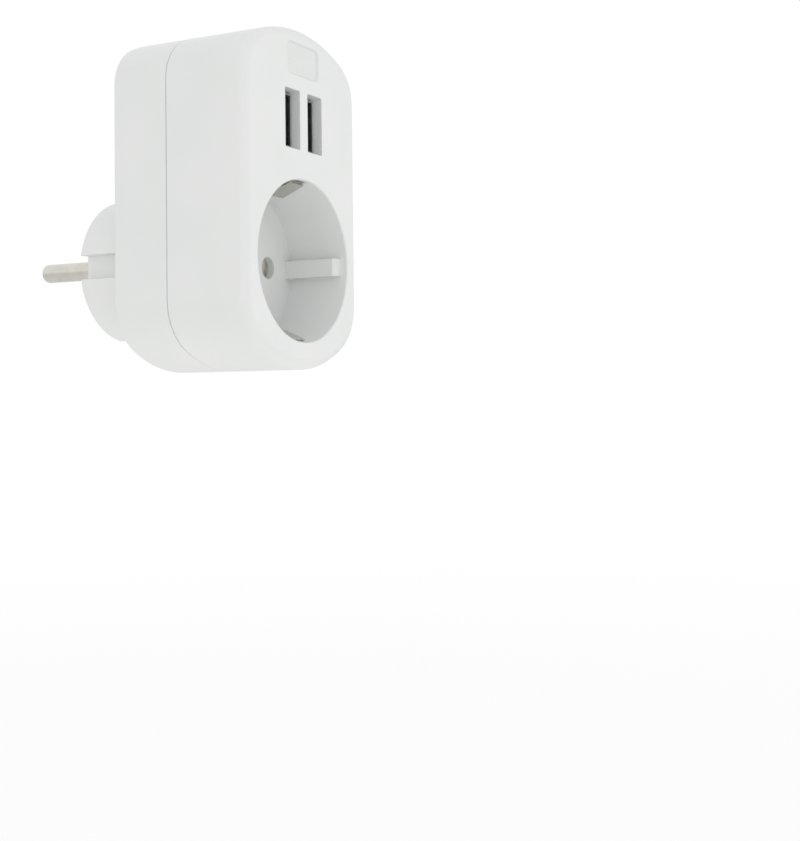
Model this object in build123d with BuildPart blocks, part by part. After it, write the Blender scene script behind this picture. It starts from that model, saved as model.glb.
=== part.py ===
from build123d import *
from math import cos, radians, sin, sqrt
import os

# An earthed socket adapter with two upright USB charging ports.
# Millimetres. The plug and socket share the Y axis, the housing's back face is at Y = 0,
# the plug points along +Y and +Z is up. A height is counted forwards from the back face.

# Housing outline, seen from the front
housing_width = 50.0
top_crown = 57.4
bottom_crown = 26.7
top_arch_radius = 42.0
bottom_arch_radius = 36.0
top_corner_radius = 11.5
bottom_corner_radius = 14.0

# Housing depth and walls
housing_depth = 38.8
seam_height = 16.0
seam_gap = 0.14
seam_edge = 0.12
wall = 2.2
front_edge_radius = 2.6
back_edge_radius = 0.8
lip_thickness = 1.0
lip_height = 2.0
lip_clearance = 0.1

# Socket well
well_radius = 20.0
well_depth = 17.5
well_wall = 1.6
well_floor = 2.0
well_edge_radius = 0.4
rib_width = 4.6
rib_reach = 2.7
rib_setback = 2.0
rib_lead_in = 1.0
pin_spacing = 19.0
entry_radius = 2.8

# Plug
pin_radius = 2.4
pin_length = 19.0
pin_tip_radius = 1.4
pin_collar_radius = 2.6
pin_collar_stand = 0.4
pin_seat_clearance = 0.03
boss_radius = 18.5
boss_length = 17.0
boss_wall = 2.0
boss_floor = 2.2
boss_end_chamfer = 0.7
guide_notch_width = 6.0
guide_notch_depth = 2.9
earth_groove_width = 6.6
earth_groove_depth = 2.7
groove_side_wall = 1.8
shoulder_radius = 3.5
shoulder_length = 2.0
tail_radius = 1.5
rivet_head_radius = 2.1
rivet_head_length = 0.6

# Earth brackets
earth_width = 5.2
earth_slot_margin = 0.4
clip_thickness = 0.6
clip_leg_standoff = 0.2
clip_slot_clearance = 0.3
clip_reach = 3.2
clip_tip_setback = 2.2
clip_bend_height = 3.0
plug_strip_thickness = 0.8
plug_strip_bow = 1.0
strip_clearance = 0.1
earth_rivet_radius = 1.2
earth_rivet_head_radius = 2.2
earth_rivet_head_length = 0.8
rivet_clearance = 0.05
sheet_bend_radius = 1.0

# Shutter
shutter_radius = 14.5
shutter_thickness = 2.6
shutter_turn = 40.0
shutter_window_radius = 3.2
shutter_float = 0.2
shutter_chamber_depth = 3.3
hub_radius = 2.0
hub_clearance = 0.06
ramp_rise = 2.0
ramp_margin = 0.2
stop_peg_radius = 1.2
stop_peg_circle = 12.6
stop_clearance = 0.15
chamber_clearance = 0.7
spring_recess_radius = 5.0
spring_recess_depth = 1.6
spring_coil_radius = 3.4
spring_wire_radius = 0.25
spring_turns = 2.0

# Contacts and their carrier
contact_clearance = 0.1
contact_sheet = 0.6
contact_slot = 2.0
contact_web_width = 4.4
carrier_plate = 1.6
carrier_clip_gap = 0.4
carrier_wall = 0.8
carrier_clearance = 0.2
carrier_leg_radius = 1.2
carrier_leg_angle = 60.0
chamber_outer_x = 11.5
chamber_end_height = 4.4
sleeve_end_gap = 0.6

# Screws
screw_top_inset = 6.0
screw_top_drop = 11.4
screw_bottom_stand = 2.6
screw_bottom_angle = -42.3
screw_radius = 1.25
screw_length = 16.0
screw_head_radius = 2.3
screw_head_length = 1.9
screw_recess_depth = 9.0
screw_recess_clearance = 0.3
screw_hole_clearance = 0.25
screw_thread_clearance = 0.03
boss_outer_radius = 2.8
column_wall = 1.0
cross_recess_width = 0.9
cross_recess_depth = 1.0

# USB ports
port_pitch = 9.9
port_centre_z = 34.45
window_width = 6.5
window_height = 14.5
window_corner_radius = 0.4
collar_wall = 1.0
collar_depth = 3.0
port_width = 5.7
port_height = 13.1
port_sheet = 0.3
port_corner_radius = 0.6
port_front_gap = 0.2
port_length = 13.7
tongue_thickness = 1.84
tongue_width = 11.1
tongue_offset = 0.95
tongue_setback = 0.7
insulator_length = 4.8
insulator_clearance = 0.05
port_contact_pitches = (-3.5, -1.0, 1.0, 3.5)
port_contact_width = 1.0
port_contact_sheet = 0.2
port_contact_setback = 1.2
port_tab_width = 1.6
port_tab_spacing = 7.0
spring_tongue_width = 1.6
spring_tongue_length = 5.0
spring_tongue_gap = 0.35

# Recess for the rating plate above the ports
label_width = 13.4
label_window_gap = 4.0
label_crown_gap = 4.2
label_depth = 0.45
label_corner_radius = 1.4
label_wall_slope = 35.0

# Boards
board_thickness = 1.6
board_edge_gap = 0.8
board_bottom = 23.2
power_board_height = 4.2
usb_board_inset = 11.0
usb_board_drop = 6.4
board_solder_side = 0.6
post_radius = 1.8
post_pin_radius = 1.0
post_pin_reach = 0.6
board_hole_clearance = 0.1
usb_post_inset = 2.8
usb_post_drop = 3.8
power_post_inset = 7.4
power_post_rise = 4.8
power_post_drop = 7.0
column_board_gap = 0.4

# Link between the boards
link_pin_width = 0.64
link_pitch = 2.54
link_count = 4
link_z = 25.2
link_spacer_height = 2.5

# Transformer
transformer_z = 37.5
core_width = 14.0
core_board_gap = 1.3
core_depth = 6.4
core_leg = 1.6
core_lift = 1.2
bobbin_wall = 0.8
bobbin_clearance = 0.1
bobbin_flange = 0.8
bobbin_flange_depth = 14.0
bobbin_foot_depth = 2.5
winding_margin = 0.4
winding_corner_radius = 1.2

# Other parts on the power board
input_capacitor_radius = 4.0
input_capacitor_gap = 3.1
output_capacitor_radius = 3.15
output_capacitor_gap = 4.3
capacitor_inset = 10.6
capacitor_z = 37.0
capacitor_crimp_radius = 0.35
capacitor_crimp_height = 1.4
capacitor_rim = 0.5
disc_capacitor_radius = 3.4
disc_capacitor_thickness = 2.6
disc_capacitor_rim = 0.2
disc_capacitor_x = 10.2
disc_capacitor_z = 28.6
disc_lead_spacing = 5.0
disc_capacitor_lift = 1.2
part_lead_radius = 0.3
resistor_radius = 1.5
resistor_length = 6.4
resistor_x = -10.2
resistor_z = 29.6
resistor_lift = 1.9
resistor_lead_span = 8.4
rectifier_size = (4.7, 3.9, 2.4)
rectifier_x = -10.2
rectifier_z = 46.4
chip_size = (4.9, 3.9, 1.45)
chip_x = 10.2
chip_z = 46.4
chip_leg_count = 4
chip_leg_width = 0.42
chip_leg_sheet = 0.2
chip_leg_reach = 1.0
chip_lift = 0.12
chip_draft = 7.0

# Supply links
supply_link_radius = 0.8
supply_link_reach = 2.8

# Heights worked out from the sizes above
front_seam = seam_height + seam_gap / 2
rear_seam = seam_height - seam_gap / 2
face_inside = housing_depth - wall
floor_front = housing_depth - well_depth
floor_back = floor_front - well_floor
carrier_front = floor_back - shutter_chamber_depth
carrier_back = carrier_front - carrier_plate
shutter_front = floor_back - shutter_float
shutter_back = shutter_front - shutter_thickness
pin_x = pin_spacing / 2
boss_inside = boss_floor - boss_length
shoulder_face = boss_inside + shoulder_length
contact_flange_face = shoulder_face + contact_sheet
contact_bore = pin_radius + contact_clearance
contact_outer = contact_bore + contact_sheet
plug_strip_top = wall + plug_strip_thickness
clip_base_top = plug_strip_top + clip_thickness
port_front = face_inside - port_front_gap
usb_board_front = port_front - port_length
usb_board_back = usb_board_front - board_thickness
power_board_front = power_board_height + board_thickness
side_x = housing_width / 2
clip_leg_height = well_radius + clip_leg_standoff
carrier_radius = clip_leg_height - clip_thickness - carrier_clip_gap
label_bottom = port_centre_z + window_height / 2 + label_window_gap
label_top = top_crown - label_crown_gap
usb_board_x = side_x - usb_board_inset
usb_board_top = top_crown - usb_board_drop
usb_post_x = usb_board_x - usb_post_inset
usb_post_z = usb_board_top - usb_post_drop
power_post_x = side_x - power_post_inset
capacitor_x = side_x - capacitor_inset
sides = (("left", -1), ("right", 1))
port_places = [(side * port_pitch / 2, port_centre_z) for _, side in sides]
pin_places = [(side * pin_x, 0) for _, side in sides]
screw_circle = well_radius + well_wall + screw_bottom_stand
screw_bottom_x = screw_circle * cos(radians(screw_bottom_angle))
screw_bottom_z = screw_circle * sin(radians(screw_bottom_angle))
screw_places = [(side * (side_x - screw_top_inset), top_crown - screw_top_drop) for _, side in sides]
screw_places += [(side * screw_bottom_x, screw_bottom_z) for _, side in sides]
power_post_places = [(side * power_post_x, board_bottom + power_post_rise) for _, side in sides]
power_post_places += [(0, top_crown - power_post_drop)]


def at(height):
    """The plane across the housing at a height in front of its back face."""
    return Plane.XZ.offset(height)


def arch_end(crown, radius):
    """How high an arch of a crown and radius stands where it meets the housing's side."""
    return crown - radius + sqrt(radius**2 - (housing_width / 2) ** 2)


# Outlines that several pieces share
top_end = arch_end(top_crown, top_arch_radius)
bottom_end = -arch_end(bottom_crown, bottom_arch_radius)

with BuildSketch() as outline:
    with BuildLine():
        ThreePointArc((-side_x, top_end), (0, top_crown), (side_x, top_end))
        Line((side_x, top_end), (side_x, bottom_end))
        ThreePointArc((side_x, bottom_end), (0, -bottom_crown), (-side_x, bottom_end))
        Line((-side_x, bottom_end), (-side_x, top_end))
    make_face()
    fillet(outline.vertices().group_by(Axis.Y)[-1], top_corner_radius)
    fillet(outline.vertices().group_by(Axis.Y)[0], bottom_corner_radius)

with BuildSketch() as cavity:
    add(outline.sketch)
    offset(amount=-wall)

with BuildSketch() as lip_section:
    add(outline.sketch)
    offset(amount=lip_thickness - wall)
    add(cavity.sketch, mode=Mode.SUBTRACT)

with BuildSketch() as lip_room:
    add(outline.sketch)
    offset(amount=lip_thickness + lip_clearance - wall)
    with BuildSketch(mode=Mode.SUBTRACT):
        add(outline.sketch)
        offset(amount=-wall - lip_clearance)

with BuildSketch() as board_section:
    add(outline.sketch)
    offset(amount=-wall - board_edge_gap)
    with Locations((0, board_bottom)):
        Rectangle(housing_width, top_crown, align=(Align.CENTER, Align.MIN), mode=Mode.INTERSECT)

# Shallow recess of the rating plate, with sloped walls
label_middle = (label_top + label_bottom) / 2
label_height = label_top - label_bottom

with BuildPart() as label_recess:
    with BuildSketch(at(housing_depth - label_depth)):
        with Locations((0, label_middle)):
            RectangleRounded(label_width, label_height, label_corner_radius)
    extrude(amount=label_depth, taper=-label_wall_slope)

# Front shell with the socket well, the port windows and the screw bosses
earth_slot_width = earth_width + 2 * earth_slot_margin
earth_slot_top = clip_leg_height + clip_slot_clearance
earth_slot_height = clip_thickness + 2 * clip_slot_clearance
earth_slot_z = earth_slot_top - earth_slot_height / 2
rib_root = well_radius + well_wall / 2
rib_inner = well_radius - rib_reach
collar_back = face_inside - collar_depth
ring_radius = shutter_radius + chamber_clearance

with BuildPart() as front_shell:
    with BuildSketch(at(front_seam)):
        add(outline.sketch)
    extrude(amount=housing_depth - front_seam)
    fillet(front_shell.faces().sort_by(Axis.Y)[0].edges(), front_edge_radius)
    chamfer(front_shell.faces().sort_by(Axis.Y)[-1].edges(), seam_edge)
    with BuildSketch(at(front_seam)):
        add(cavity.sketch)
    extrude(amount=face_inside - front_seam, mode=Mode.SUBTRACT)

    # Wall and floor of the well
    with BuildSketch(at(floor_back)):
        Circle(well_radius + well_wall)
    extrude(amount=face_inside - floor_back)
    with BuildSketch(at(floor_front)):
        Circle(well_radius)
    extrude(amount=well_depth, mode=Mode.SUBTRACT)
    mouth = front_shell.edges().filter_by(GeomType.CIRCLE).filter_by(
        lambda edge: abs(edge.radius - well_radius) < well_edge_radius
    )
    fillet(mouth.sort_by(Axis.Y)[0], well_edge_radius)

    # Guide ribs left and right, with a lead-in at the mouth
    with BuildSketch(at(floor_front)):
        with Locations(*[(side * (rib_root + rib_inner) / 2, 0) for _, side in sides]):
            Rectangle(rib_root - rib_inner, rib_width)
    extrude(amount=well_depth - rib_setback)
    rib_top = rib_setback - housing_depth
    rib_edges = front_shell.edges().filter_by_position(Axis.Y, rib_top - seam_gap, rib_top + seam_gap)
    chamfer(rib_edges.filter_by(Axis.Z), rib_lead_in)

    # Ring around the shutter, its hub and its stop
    with BuildSketch(at(carrier_front)):
        Circle(ring_radius + carrier_wall)
        Circle(ring_radius, mode=Mode.SUBTRACT)
        Circle(hub_radius)
        with Locations((0, stop_peg_circle)):
            Circle(stop_peg_radius)
    extrude(amount=shutter_chamber_depth)

    # Screw bosses beside the well and in the top corners
    with BuildSketch(at(front_seam)):
        with Locations(*screw_places):
            Circle(boss_outer_radius)
    extrude(amount=face_inside - front_seam)
    with BuildSketch(at(floor_front)):
        Circle(well_radius)
        with Locations(*[(side * (rib_root + rib_inner) / 2, 0) for _, side in sides]):
            Rectangle(rib_root - rib_inner, rib_width, mode=Mode.SUBTRACT)
    extrude(amount=well_depth - rib_setback, mode=Mode.SUBTRACT)
    with BuildSketch(at(front_seam)):
        with Locations(*screw_places):
            Circle(screw_radius + screw_thread_clearance)
    extrude(amount=screw_length, mode=Mode.SUBTRACT)

    # Room for the rear shell's lip
    with BuildSketch(at(front_seam)):
        add(lip_room.sketch)
    extrude(amount=lip_height, mode=Mode.SUBTRACT)

    # Collars and posts for the ports and their board
    with BuildSketch(at(collar_back)):
        with Locations(*port_places):
            Rectangle(window_width + 2 * collar_wall, window_height + 2 * collar_wall)
    extrude(amount=collar_depth)
    with BuildSketch(at(collar_back)):
        with Locations(*port_places):
            RectangleRounded(window_width, window_height, window_corner_radius)
    extrude(amount=collar_depth + wall, mode=Mode.SUBTRACT)
    with BuildSketch(at(usb_board_front)):
        with Locations((-usb_post_x, usb_post_z), (usb_post_x, usb_post_z)):
            Circle(post_radius)
    extrude(amount=face_inside - usb_board_front)
    with BuildSketch(at(usb_board_back - post_pin_reach)):
        with Locations((-usb_post_x, usb_post_z), (usb_post_x, usb_post_z)):
            Circle(post_pin_radius)
    extrude(amount=board_thickness + post_pin_reach)

    # Pin entries and the channels of the earth clips, open at the rim
    with BuildSketch(at(floor_back)):
        with Locations(*pin_places):
            Circle(entry_radius)
    extrude(amount=well_floor, mode=Mode.SUBTRACT)
    with BuildSketch(at(floor_back)):
        with Locations((0, earth_slot_z), (0, -earth_slot_z)):
            Rectangle(earth_slot_width, earth_slot_height)
    extrude(amount=housing_depth - floor_back, mode=Mode.SUBTRACT)
    add(label_recess.part, mode=Mode.SUBTRACT)

# Plug boss, keyed left and right and grooved for the earth strips
notch_floor = boss_radius - guide_notch_depth
groove_floor = boss_radius - earth_groove_depth

with BuildSketch() as boss_section:
    Circle(boss_radius)
    for _, side in sides:
        with Locations((side * (notch_floor + guide_notch_depth), 0)):
            Rectangle(2 * guide_notch_depth, guide_notch_width, mode=Mode.SUBTRACT)
        with Locations((0, side * (groove_floor + earth_groove_depth))):
            Rectangle(earth_groove_width, 2 * earth_groove_depth, mode=Mode.SUBTRACT)

with BuildSketch() as boss_hollow:
    Circle(boss_radius - boss_wall)
    for _, side in sides:
        with Locations((side * boss_radius, 0)):
            Rectangle(
                2 * (guide_notch_depth + groove_side_wall),
                guide_notch_width + 2 * groove_side_wall,
                mode=Mode.SUBTRACT,
            )
        with Locations((0, side * boss_radius)):
            Rectangle(
                earth_groove_width + 2 * groove_side_wall,
                2 * (earth_groove_depth + groove_side_wall),
                mode=Mode.SUBTRACT,
            )

# Rear shell with the plug boss, the lip and the screw columns
column_radius = screw_head_radius + screw_recess_clearance + column_wall
slit_height = plug_strip_thickness + 2 * strip_clearance
slit_z = groove_floor + slit_height / 2

with BuildPart() as rear_shell:
    with BuildSketch(at(0)):
        add(outline.sketch)
    extrude(amount=rear_seam)
    fillet(rear_shell.faces().sort_by(Axis.Y)[-1].edges(), back_edge_radius)
    chamfer(rear_shell.faces().sort_by(Axis.Y)[0].edges(), seam_edge)
    with BuildSketch(at(wall)):
        add(cavity.sketch)
    extrude(amount=rear_seam - wall, mode=Mode.SUBTRACT)
    with BuildSketch(at(rear_seam)):
        add(lip_section.sketch)
    extrude(amount=lip_height)

    # Plug boss
    with BuildSketch(at(0)):
        add(boss_section.sketch)
    extrude(amount=-boss_length)
    chamfer(rear_shell.faces().sort_by(Axis.Y)[-1].edges(), boss_end_chamfer)
    with BuildSketch(at(wall)):
        add(boss_hollow.sketch)
    extrude(amount=boss_inside - wall, mode=Mode.SUBTRACT)
    with BuildSketch(at(boss_inside)):
        with Locations(*pin_places):
            Circle(pin_collar_radius + pin_seat_clearance)
    extrude(amount=-boss_floor, mode=Mode.SUBTRACT)
    with BuildSketch(at(0)):
        with Locations((0, slit_z), (0, -slit_z)):
            Rectangle(earth_width + 2 * strip_clearance, slit_height)
    extrude(amount=wall, mode=Mode.SUBTRACT)

    # Screw columns, counterbored from the back
    with BuildSketch(at(wall)):
        with Locations(*screw_places):
            Circle(column_radius)
    extrude(amount=front_seam - wall)
    with Locations(*[Plane((x, 0, z), z_dir=(0, 1, 0)) for x, z in screw_places]):
        CounterBoreHole(
            radius=screw_radius + screw_hole_clearance,
            counter_bore_radius=screw_head_radius + screw_recess_clearance,
            counter_bore_depth=screw_recess_depth,
            depth=front_seam,
        )

    # Posts of the power board
    with BuildSketch(at(wall)):
        with Locations(*power_post_places):
            Circle(post_radius)
    extrude(amount=power_board_height - wall)
    with BuildSketch(at(power_board_height)):
        with Locations(*power_post_places):
            Circle(post_pin_radius)
    extrude(amount=board_thickness + post_pin_reach)

# Housing screws with a cross recess
with BuildPart() as housing_screws:
    with BuildSketch(at(screw_recess_depth)):
        with Locations(*screw_places):
            Circle(screw_radius)
    extrude(amount=screw_length)
    with BuildSketch(at(screw_recess_depth - screw_head_length)):
        with Locations(*screw_places):
            Circle(screw_head_radius)
    extrude(amount=screw_head_length)
    with BuildSketch(at(screw_recess_depth - screw_head_length)):
        with Locations(*screw_places):
            Rectangle(2 * screw_radius, cross_recess_width)
            Rectangle(cross_recess_width, 2 * screw_radius)
    extrude(amount=cross_recess_depth, mode=Mode.SUBTRACT)

# Shutter disc: its windows stand a turn away from the pin entries and ramps lead to them
ramp_start = entry_radius - ramp_margin
ramp_end = pin_x * sin(radians(shutter_turn)) - shutter_window_radius / 2
ramp_inner_x = pin_x - shutter_window_radius

with BuildSketch() as stop_slot:
    SlotArc(
        CenterArc((0, 0), stop_peg_circle, 90 - shutter_turn, shutter_turn),
        height=2 * (stop_peg_radius + stop_clearance),
    )

with BuildPart() as shutter_disc:
    with BuildSketch(at(shutter_back)):
        Circle(shutter_radius)
        Circle(hub_radius + hub_clearance, mode=Mode.SUBTRACT)
        for _, side in sides:
            window_x = side * pin_x * cos(radians(shutter_turn))
            window_z = -side * pin_x * sin(radians(shutter_turn))
            with Locations((window_x, window_z)):
                Circle(shutter_window_radius, mode=Mode.SUBTRACT)
        add(stop_slot.sketch, mode=Mode.SUBTRACT)
    extrude(amount=shutter_thickness)
    with BuildSketch(at(shutter_back)):
        Circle(spring_recess_radius)
        Circle(hub_radius + hub_clearance, mode=Mode.SUBTRACT)
    extrude(amount=spring_recess_depth, mode=Mode.SUBTRACT)
    for _, side in sides:
        with BuildSketch(Plane.YZ.offset(side * ramp_inner_x)):
            with BuildLine():
                Polyline(
                    (-shutter_front, side * ramp_start),
                    (-shutter_front, -side * ramp_end),
                    (ramp_rise - shutter_front, -side * ramp_end),
                    close=True,
                )
            make_face()
        extrude(amount=side * 2 * shutter_window_radius, mode=Mode.SUBTRACT)

# Shutter return spring, coiled round the hub with one leg on the disc and one on the carrier
spring_length = spring_recess_depth - 2 * spring_wire_radius
spring_pitch = spring_length / spring_turns
spring_start = shutter_back + spring_wire_radius

with BuildPart() as shutter_spring:
    with BuildLine():
        Helix(spring_pitch, spring_length, spring_coil_radius, (0, -spring_start, 0), (0, -1, 0))
    with BuildSketch(Plane((spring_coil_radius, -spring_start, 0), z_dir=(0, 0, 1))):
        Circle(spring_wire_radius)
    sweep(is_frenet=True)

# Contact carrier behind the shutter, standing on four legs
carrier_leg_circle = (boss_radius - boss_wall + carrier_radius) / 2
leg_angles = (carrier_leg_angle, 180 - carrier_leg_angle, -carrier_leg_angle, carrier_leg_angle - 180)
chamber_inner_x = pin_x - contact_outer - carrier_clearance - carrier_wall
chamber_half_height = contact_outer + carrier_clearance
chamber_length = carrier_back - chamber_end_height

with BuildPart() as contact_carrier:
    with BuildSketch(at(carrier_back)):
        Circle(carrier_radius)
        with Locations(*pin_places):
            Circle(entry_radius, mode=Mode.SUBTRACT)
    extrude(amount=carrier_plate)
    with BuildSketch(at(chamber_end_height)):
        for _, side in sides:
            with Locations((side * (chamber_inner_x + chamber_outer_x) / 2, 0)):
                Rectangle(
                    chamber_outer_x - chamber_inner_x,
                    2 * (chamber_half_height + carrier_wall),
                )
            with Locations((side * (chamber_inner_x + carrier_wall + chamber_outer_x) / 2, 0)):
                Rectangle(
                    chamber_outer_x - chamber_inner_x - carrier_wall,
                    2 * chamber_half_height,
                    mode=Mode.SUBTRACT,
                )
    extrude(amount=chamber_length)
    with BuildSketch(at(wall)):
        for angle in leg_angles:
            leg_x = carrier_leg_circle * cos(radians(angle))
            leg_z = carrier_leg_circle * sin(radians(angle))
            with Locations((leg_x, leg_z)):
                Circle(carrier_leg_radius)
    extrude(amount=carrier_back - wall)

# Plug pins, headed inside the boss and riveted to the contacts
pin_parts = {}
for name, side in sides:
    with BuildPart() as plug_pin:
        with BuildSketch(Plane((side * pin_x, 0, 0))):
            with BuildLine():
                Polyline(
                    (0, boss_length + pin_length),
                    (pin_radius, boss_length + pin_length),
                    (pin_radius, boss_length + pin_collar_stand),
                    (pin_collar_radius, boss_length + pin_collar_stand),
                    (pin_collar_radius, -boss_inside),
                    (shoulder_radius, -boss_inside),
                    (shoulder_radius, -shoulder_face),
                    (tail_radius, -shoulder_face),
                    (tail_radius, -contact_flange_face),
                    (rivet_head_radius, -contact_flange_face),
                    (rivet_head_radius, -contact_flange_face - rivet_head_length),
                    (0, -contact_flange_face - rivet_head_length),
                    close=True,
                )
            make_face()
        revolve(axis=Axis((side * pin_x, 0, 0), (0, 1, 0)))
        fillet(plug_pin.edges().sort_by(Axis.Y)[-1], pin_tip_radius)
    pin_parts[name] = plug_pin.part

# Contacts: a split sleeve for the incoming pin on a strip that runs back to the plug pin
web_outer_x = pin_x + contact_outer + contact_sheet / 2
web_x = web_outer_x - contact_sheet / 2
sleeve_start = chamber_end_height + carrier_clearance
sleeve_end = carrier_back - sleeve_end_gap

contact_parts = {}
for name, side in sides:
    with BuildPart() as contact:
        with BuildSketch(at(sleeve_start)):
            with Locations((side * pin_x, 0)):
                Circle(contact_outer)
                Circle(contact_bore, mode=Mode.SUBTRACT)
            with Locations((side * (pin_x - contact_outer), 0)):
                Rectangle(2 * contact_sheet + contact_slot, contact_slot, mode=Mode.SUBTRACT)
        extrude(amount=sleeve_end - sleeve_start)
        with BuildSketch(at(shoulder_face)):
            with Locations((side * web_x, 0)):
                Rectangle(contact_sheet, contact_web_width)
        extrude(amount=sleeve_end - shoulder_face)
        with BuildSketch(at(shoulder_face)):
            with Locations((side * (web_outer_x + pin_x - rivet_head_radius) / 2, 0)):
                Rectangle(web_outer_x - pin_x + rivet_head_radius, contact_web_width)
            with Locations((side * pin_x, 0)):
                Circle(tail_radius + rivet_clearance, mode=Mode.SUBTRACT)
        extrude(amount=contact_sheet)
    contact_parts[name] = contact.part

# Socket earth bracket: one bent strip whose ends are the clips in the well
clip_tip = housing_depth - clip_tip_setback
clip_crest = (floor_front + clip_tip) / 2 + clip_bend_height / 2
clip_foot = floor_front + clip_bend_height
clip_crest_z = clip_leg_height - clip_reach

with BuildPart() as socket_earth_bracket:
    with BuildSketch(Plane.YZ):
        with BuildLine() as clip_line:
            Polyline(
                (-clip_tip, clip_leg_height - clip_thickness),
                (-clip_crest, clip_crest_z),
                (-clip_foot, clip_leg_height),
                (-plug_strip_top, clip_leg_height),
                (-plug_strip_top, -clip_leg_height),
                (-clip_foot, -clip_leg_height),
                (-clip_crest, -clip_crest_z),
                (-clip_tip, clip_thickness - clip_leg_height),
            )
            inner_bends = clip_line.vertices().sort_by(Axis.X)[2:]
            fillet(inner_bends, sheet_bend_radius)
            offset(amount=clip_thickness, side=Side.RIGHT)
        make_face()
    extrude(amount=earth_width / 2, both=True)
    with BuildSketch(at(plug_strip_top)):
        Circle(earth_rivet_radius + rivet_clearance)
    extrude(amount=clip_thickness, mode=Mode.SUBTRACT)

# Plug earth bracket: one bent strip whose legs lie bowed in the boss's grooves
strip_z = groove_floor + strip_clearance + plug_strip_thickness
strip_tip = boss_end_chamfer + strip_clearance - boss_length

with BuildPart() as plug_earth_bracket:
    with BuildSketch(Plane.YZ):
        with BuildLine() as strip_line:
            Polyline(
                (-strip_tip, strip_z),
                (boss_length / 2, strip_z + plug_strip_bow),
                (wall, strip_z),
                (-plug_strip_top, strip_z),
                (-plug_strip_top, -strip_z),
                (wall, -strip_z),
                (boss_length / 2, -strip_z - plug_strip_bow),
                (-strip_tip, -strip_z),
            )
            fillet(strip_line.vertices().sort_by(Axis.X)[:-2], sheet_bend_radius)
            offset(amount=plug_strip_thickness, side=Side.LEFT)
        make_face()
    extrude(amount=earth_width / 2, both=True)
    with BuildSketch(at(wall)):
        Circle(earth_rivet_radius + rivet_clearance)
    extrude(amount=plug_strip_thickness, mode=Mode.SUBTRACT)

# Rivet through both earth brackets
with BuildPart() as earth_rivet:
    with BuildSketch(at(wall)):
        Circle(earth_rivet_radius)
    extrude(amount=clip_base_top - wall)
    with BuildSketch(at(wall - earth_rivet_head_length)):
        Circle(earth_rivet_head_radius)
    extrude(amount=earth_rivet_head_length)
    with BuildSketch(at(clip_base_top)):
        Circle(earth_rivet_head_radius)
    extrude(amount=earth_rivet_head_length)

# USB receptacles: folded shell, insulator with its tongue, and four contacts
port_middle_height = (port_front + usb_board_front) / 2
tongue_length = port_length - insulator_length - tongue_setback
contact_length = port_length - port_contact_setback
solder_end = usb_board_back - board_solder_side
inner_width = port_width - 2 * port_sheet
inner_height = port_height - 2 * port_sheet
contact_face_x = tongue_offset - tongue_thickness / 2

port_parts = {}
for (name, side), (port_x, port_z) in zip(sides, port_places):
    with BuildPart() as usb_shell:
        with BuildSketch(at(usb_board_front)):
            with Locations((port_x, port_z)):
                RectangleRounded(port_width, port_height, port_corner_radius)
                RectangleRounded(
                    inner_width, inner_height, port_corner_radius - port_sheet, mode=Mode.SUBTRACT
                )
        extrude(amount=port_length)
        with BuildSketch(at(solder_end)):
            for wall_side in (-1, 1):
                wall_x = port_x + wall_side * (port_width - port_sheet) / 2
                for tab_side in (-1, 1):
                    with Locations((wall_x, port_z + tab_side * port_tab_spacing / 2)):
                        Rectangle(port_sheet, port_tab_width)
        extrude(amount=usb_board_front - solder_end)
        with BuildSketch(Plane.YZ.offset(port_x)):
            for tab_side in (-1, 1):
                with Locations((-port_middle_height, port_z + tab_side * port_tab_spacing / 2)):
                    Rectangle(spring_tongue_length, spring_tongue_width + 2 * spring_tongue_gap)
                with Locations(
                    (-port_middle_height + spring_tongue_gap, port_z + tab_side * port_tab_spacing / 2)
                ):
                    Rectangle(spring_tongue_length, spring_tongue_width, mode=Mode.SUBTRACT)
        extrude(amount=port_width, both=True, mode=Mode.SUBTRACT)

    with BuildPart() as usb_insulator:
        with BuildSketch(at(usb_board_front)):
            with Locations((port_x, port_z)):
                RectangleRounded(
                    inner_width - 2 * insulator_clearance,
                    inner_height - 2 * insulator_clearance,
                    port_corner_radius - port_sheet,
                )
        extrude(amount=insulator_length)
        with BuildSketch(at(usb_board_front + insulator_length)):
            with Locations((port_x + tongue_offset, port_z)):
                Rectangle(tongue_thickness, tongue_width)
        extrude(amount=tongue_length)
        with BuildSketch(at(usb_board_front)):
            for pitch in port_contact_pitches:
                with Locations((port_x + contact_face_x - port_contact_sheet / 2, port_z + pitch)):
                    Rectangle(port_contact_sheet, port_contact_width)
        extrude(amount=insulator_length, mode=Mode.SUBTRACT)

    with BuildPart() as usb_contacts:
        with BuildSketch(at(solder_end)):
            for pitch in port_contact_pitches:
                with Locations((port_x + contact_face_x - port_contact_sheet / 2, port_z + pitch)):
                    Rectangle(port_contact_sheet, port_contact_width)
        extrude(amount=contact_length + usb_board_front - solder_end)

    port_parts[name] = (usb_shell.part, usb_insulator.part, usb_contacts.part)

# Link pins between the boards and the spacer that holds them in line
link_places = [
    ((index - (link_count - 1) / 2) * link_pitch, link_z) for index in range(link_count)
]
link_bottom = power_board_height - board_solder_side
link_top = usb_board_front + board_solder_side

with BuildPart() as board_link_pins:
    with BuildSketch(at(link_bottom)):
        with Locations(*link_places):
            Rectangle(link_pin_width, link_pin_width)
    extrude(amount=link_top - link_bottom)

with BuildPart() as board_link_spacer:
    with BuildSketch(at(power_board_front)):
        with Locations((0, link_z)):
            Rectangle(link_count * link_pitch, link_pitch)
        with Locations(*link_places):
            Rectangle(link_pin_width, link_pin_width, mode=Mode.SUBTRACT)
    extrude(amount=link_spacer_height)

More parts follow.
